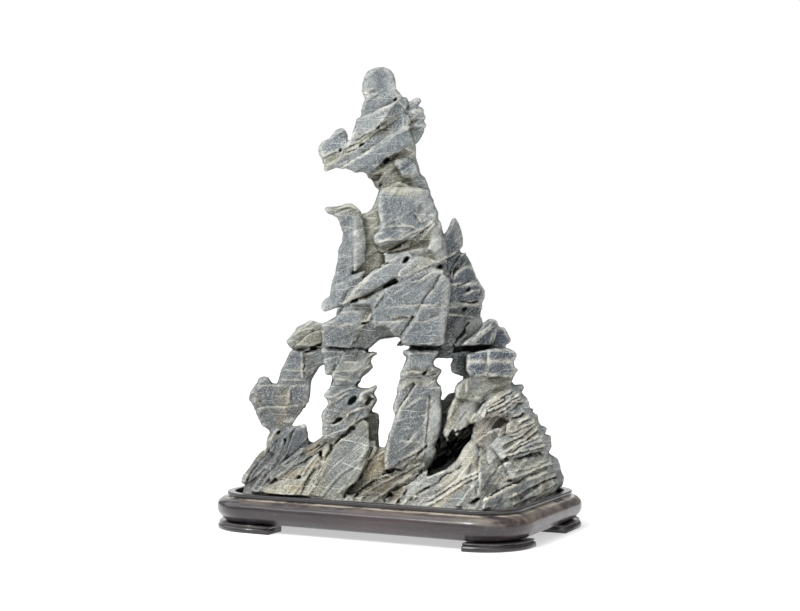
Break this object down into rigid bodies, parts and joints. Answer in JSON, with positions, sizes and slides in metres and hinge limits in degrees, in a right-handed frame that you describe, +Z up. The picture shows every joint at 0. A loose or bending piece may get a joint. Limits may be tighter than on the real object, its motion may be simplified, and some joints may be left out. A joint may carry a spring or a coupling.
{
  "type": "scholars rock with stand",
  "caption": "Tall thin-bedded grey limestone peak with natural arches and a hooked side spur, seated in a low carved dark hardwood tray stand on corner feet",
  "frame": {"origin": "on the table under the middle of the stand", "axes": "+X along the stand's long side to its right end, +Y to the back, +Z up"},
  "size_m": [0.3344, 0.2224, 0.4585],
  "materials": {
    "stone_grey_limestone": "matt, weathered, with cream recesses and thin white veins",
    "wood_dark_hardwood": "satin, dark stain worn tan at the edges"
  },
  "bodies": {
    "root": {"rock": "stone_grey_limestone", "stand": "wood_dark_hardwood", "foot_front_left": "wood_dark_hardwood", "foot_front_right": "wood_dark_hardwood", "foot_back_right": "wood_dark_hardwood", "foot_back_left": "wood_dark_hardwood"}
  },
  "joints": []
}
